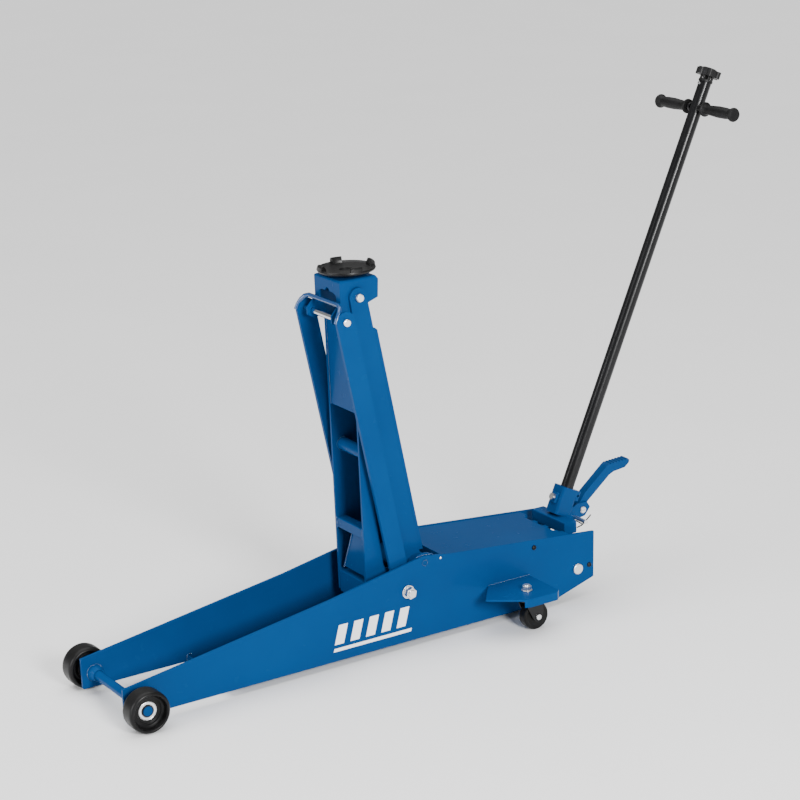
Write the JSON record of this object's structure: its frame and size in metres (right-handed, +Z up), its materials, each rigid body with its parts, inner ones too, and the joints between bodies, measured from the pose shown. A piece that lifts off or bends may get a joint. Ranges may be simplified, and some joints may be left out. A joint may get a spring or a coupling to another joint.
{
  "type": "trolley jack",
  "caption": "Long-chassis hydraulic trolley jack with a raised parallelogram lift arm, round saddle, T-bar pump handle, foot pedal, fixed front wheels and swivel rear casters.",
  "frame": {"origin": "on the floor, under the middle of the whole length and width", "axes": "+X from the front wheels towards the handle, +Z up, +Y across the jack, completing the right-handed frame"},
  "size_m": [1.5783, 0.438, 1.098],
  "materials": {
    "blue_paint": "gloss enamel",
    "wheel_black": "moulded nylon, slight sheen",
    "grip_rubber": "moulded rubber",
    "knob_plastic": "moulded",
    "bright_steel": "zinc plated",
    "chrome_rod": "polished",
    "black_paint": "gloss black",
    "black_screw": "black oxide",
    "saddle_iron": "black coated casting"
  },
  "bodies": {
    "chassis": {"side_plate_left": "blue_paint", "side_plate_right": "blue_paint", "deck_plate": "blue_paint", "bottom_plate": "blue_paint", "front_axle": "blue_paint", "axle_bosses": "blue_paint", "axle_clips": "black_screw", "caster_shelves": "blue_paint", "caster_nuts": "bright_steel", "caster_stems": "bright_steel", "main_shaft": "bright_steel", "pivot_bosses": "blue_paint", "link_bolts": "bright_steel", "link_nuts": "bright_steel", "handle_shaft": "bright_steel", "cover_screws": "black_screw", "ram_cylinder": "blue_paint", "reservoir": "blue_paint", "pump_block": "blue_paint", "pump_brackets": "blue_paint"},
    "wheel_left": {"front_wheel_left": "wheel_black", "wheel_bearing_left": "bright_steel"},
    "wheel_right": {"front_wheel_right": "wheel_black", "wheel_bearing_right": "bright_steel"},
    "caster_left": {"caster_fork_left": "black_paint", "caster_bolt_left": "bright_steel"},
    "caster_right": {"caster_fork_right": "black_paint", "caster_bolt_right": "bright_steel"},
    "caster_roller_left": {"caster_wheel_left": "wheel_black"},
    "caster_roller_right": {"caster_wheel_right": "wheel_black"},
    "lift_arm": {"arm_sides": "blue_paint", "arm_front_plate": "blue_paint", "arm_cross_bar": "blue_paint", "arm_gusset": "blue_paint", "arm_toe_plate": "blue_paint", "arm_cross_tube": "blue_paint", "arm_hub": "blue_paint", "crank_pin": "bright_steel", "arm_back_channel": "blue_paint", "head_pin": "bright_steel"},
    "links": {"link_bars": "blue_paint", "link_rod": "chrome_rod", "bail": "blue_paint"},
    "head": {"head_bracket": "blue_paint"},
    "saddle": {"saddle": "saddle_iron", "saddle_clip": "bright_steel"},
    "ram": {"ram_rod": "chrome_rod", "ram_fork": "blue_paint"},
    "handle": {"handle_socket": "blue_paint", "socket_pins": "bright_steel", "pedal_screw": "bright_steel", "handle_tube": "black_paint", "t_bar": "black_paint", "grips": "grip_rubber", "wire_clip": "black_screw", "tube_rivet": "bright_steel"},
    "release": {"release_knob": "knob_plastic", "release_rod": "bright_steel"},
    "pedal": {"pedal": "blue_paint"},
    "plunger": {"pump_plunger": "chrome_rod"}
  },
  "joints": [
    {"name": "arm_lift", "type": "hinge", "parent": "chassis", "child": "lift_arm", "pos_m": [-0.0725, 0, 0.161], "axis": [0, -1, 0], "range_deg": [0, 83]},
    {"name": "link_swing", "type": "hinge", "parent": "chassis", "child": "links", "pos_m": [-0.119, 0, 0.123], "axis": [0, -1, 0], "range_deg": [0, 83]},
    {"name": "head_level", "type": "hinge", "parent": "lift_arm", "child": "head", "pos_m": [-0.177, 0, 0.7505], "axis": [0, -1, 0], "range_deg": [-83, 0]},
    {"name": "saddle_turn", "type": "hinge", "parent": "head", "child": "saddle", "pos_m": [-0.1688, 0, 0.79], "axis": [0, 0, 1], "continuous": true},
    {"name": "ram_slide", "type": "slide", "parent": "chassis", "child": "ram", "axis": [1, 0, 0], "range_m": [0, 0.0821]},
    {"name": "wheel_left_roll", "type": "hinge", "parent": "chassis", "child": "wheel_left", "pos_m": [-0.7455, 0.1395, 0.0435], "axis": [0, 1, 0], "continuous": true},
    {"name": "wheel_right_roll", "type": "hinge", "parent": "chassis", "child": "wheel_right", "pos_m": [-0.7455, -0.1395, 0.0435], "axis": [0, 1, 0], "continuous": true},
    {"name": "caster_left_swivel", "type": "hinge", "parent": "chassis", "child": "caster_left", "pos_m": [0.1285, 0.17, 0.07], "axis": [0, 0, 1], "continuous": true},
    {"name": "caster_right_swivel", "type": "hinge", "parent": "chassis", "child": "caster_right", "pos_m": [0.1285, -0.17, 0.07], "axis": [0, 0, 1], "continuous": true},
    {"name": "caster_left_roll", "type": "hinge", "parent": "caster_left", "child": "caster_roller_left", "pos_m": [0.1435, 0.17, 0.03], "axis": [0, 1, 0], "continuous": true},
    {"name": "caster_right_roll", "type": "hinge", "parent": "caster_right", "child": "caster_roller_right", "pos_m": [0.1435, -0.17, 0.03], "axis": [0, 1, 0], "continuous": true},
    {"name": "handle_pump", "type": "hinge", "parent": "chassis", "child": "handle", "pos_m": [0.3105, 0, 0.072], "axis": [0, 1, 0], "range_deg": [-12, 30]},
    {"name": "plunger_slide", "type": "slide", "parent": "chassis", "child": "plunger", "axis": [-1, 0, 0], "range_m": [-0.0056, 0.0137]},
    {"name": "release_turn", "type": "hinge", "parent": "handle", "child": "release", "pos_m": [0.3585, 0, 0.221], "axis": [0.4244, 0, 0.9055], "range_deg": [0, 180]},
    {"name": "pedal_press", "type": "hinge", "parent": "handle", "child": "pedal", "pos_m": [0.3875, 0, 0.167], "axis": [0, 1, 0], "range_deg": [0, 20], "stiffness_Nm_per_rad": 8, "springref_deg": -17.19}
  ],
  "couplings": [
    {"joint": "link_swing", "follows": "arm_lift", "ratio": 1},
    {"joint": "head_level", "follows": "arm_lift", "ratio": -1},
    {"joint": "ram_slide", "follows": "arm_lift", "m_per_rad": 0.056614},
    {"joint": "plunger_slide", "follows": "handle_pump", "m_per_rad": 0.026}
  ]
}
